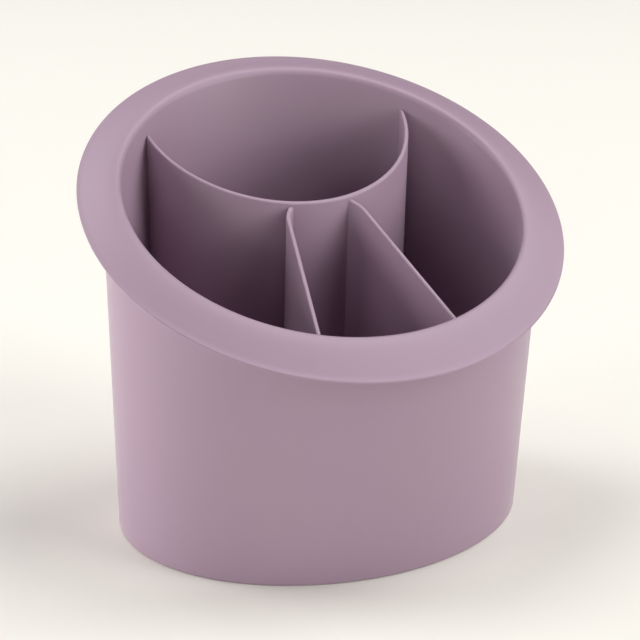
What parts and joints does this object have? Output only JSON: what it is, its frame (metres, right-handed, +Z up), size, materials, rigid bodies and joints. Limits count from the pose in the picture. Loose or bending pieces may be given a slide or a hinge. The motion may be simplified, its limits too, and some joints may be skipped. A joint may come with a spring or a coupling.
{
  "type": "cutlery holder",
  "caption": "Oval cutlery holder: a drain basket with a slanted rolled rim and a dividing insert, nested in a drip cup.",
  "frame": {"origin": "on the table, under the middle of the oval body", "axes": "+X along the oval's long axis, +Y towards the back, where the rim is highest, +Z up"},
  "size_m": [0.1666, 0.1314, 0.1443],
  "materials": {
    "cup": "satin moulded polypropylene, mauve",
    "basket": "satin moulded polypropylene, mauve",
    "divider": "satin moulded polypropylene, mauve"
  },
  "bodies": {
    "cup": {"drip_cup": "cup"},
    "basket": {"drain_basket": "basket"},
    "divider": {"divider_insert": "divider"}
  },
  "joints": [
    {"name": "basket_lift", "type": "slide", "parent": "cup", "child": "basket", "axis": [0, 0, 1], "range_m": [0, 0.14]},
    {"name": "divider_lift", "type": "slide", "parent": "basket", "child": "divider", "axis": [0, 0, 1], "range_m": [0, 0.14]}
  ]
}
